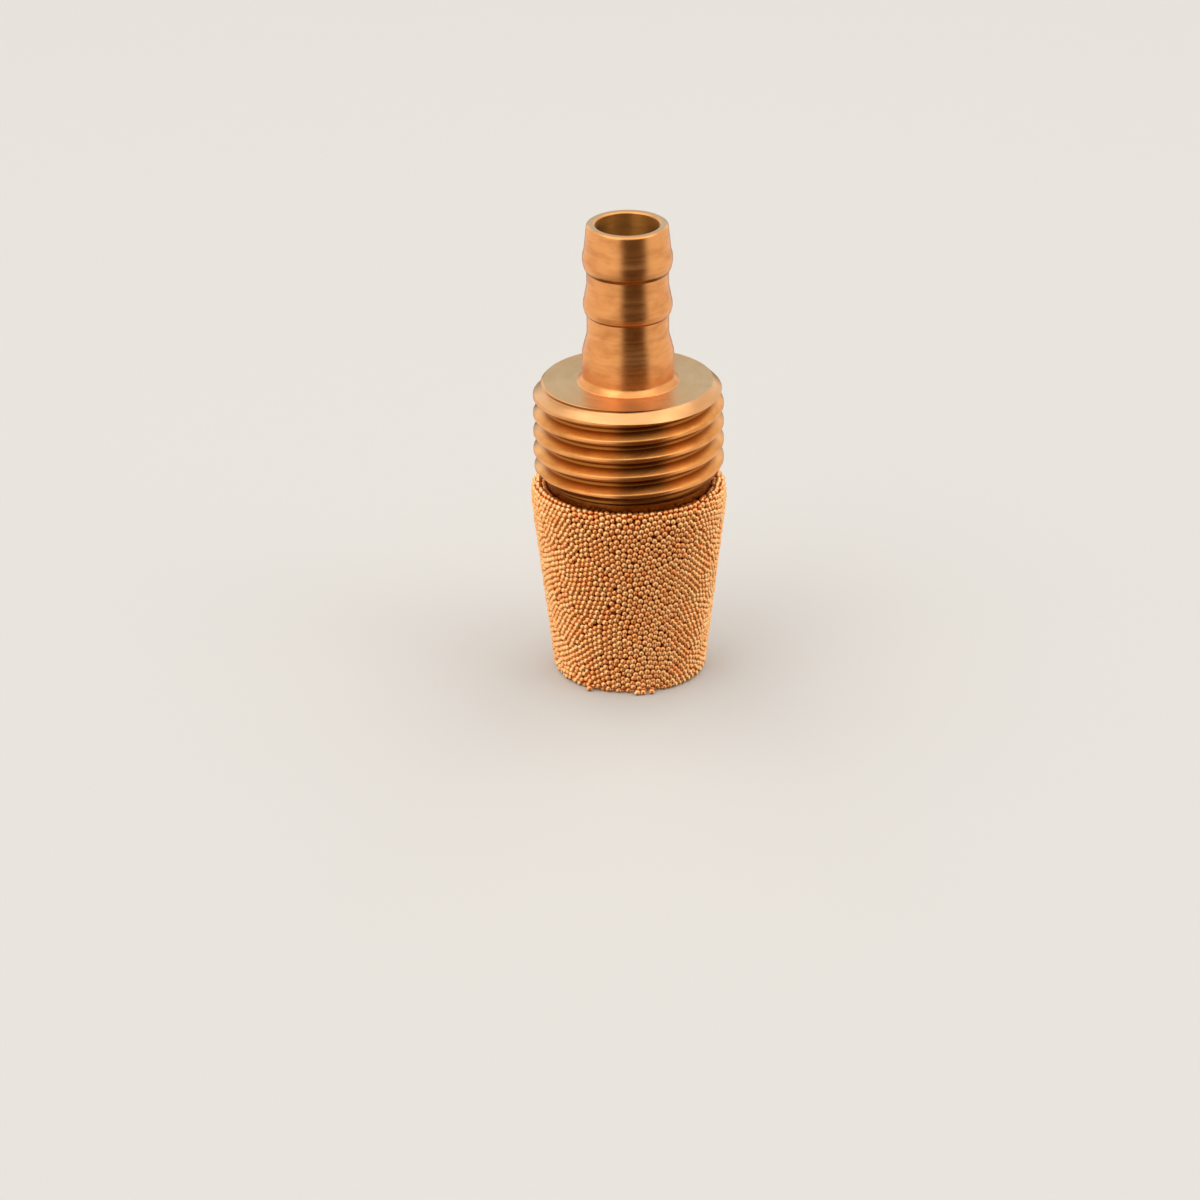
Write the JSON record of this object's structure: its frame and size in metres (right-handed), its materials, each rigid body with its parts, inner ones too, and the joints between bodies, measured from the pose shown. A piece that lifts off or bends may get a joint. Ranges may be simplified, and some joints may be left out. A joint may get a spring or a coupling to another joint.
{
  "type": "pneumatic muffler",
  "caption": "Small pneumatic muffler: a turned brass hose barb with a threaded collar, on a tapered cup of sintered bronze balls.",
  "frame": {"origin": "centre of the sintered cup's flat base, on the surface that the muffler stands on", "axes": "+Z along the muffler's axis, from the cup's base to the tip of the hose barb; X and Y are free, with the thread's groove centre at z = 11.31 mm on the +X side"},
  "size_m": [0.0102, 0.0102, 0.0247],
  "materials": {
    "turned_brass": "satin turned brass with fine circular tool marks",
    "sintered_bronze": "sintered bronze balls about 0.31 mm across, bright on their tops"
  },
  "bodies": {
    "root": {"barbed_fitting": "turned_brass", "sintered_cup": "sintered_bronze"}
  },
  "joints": []
}
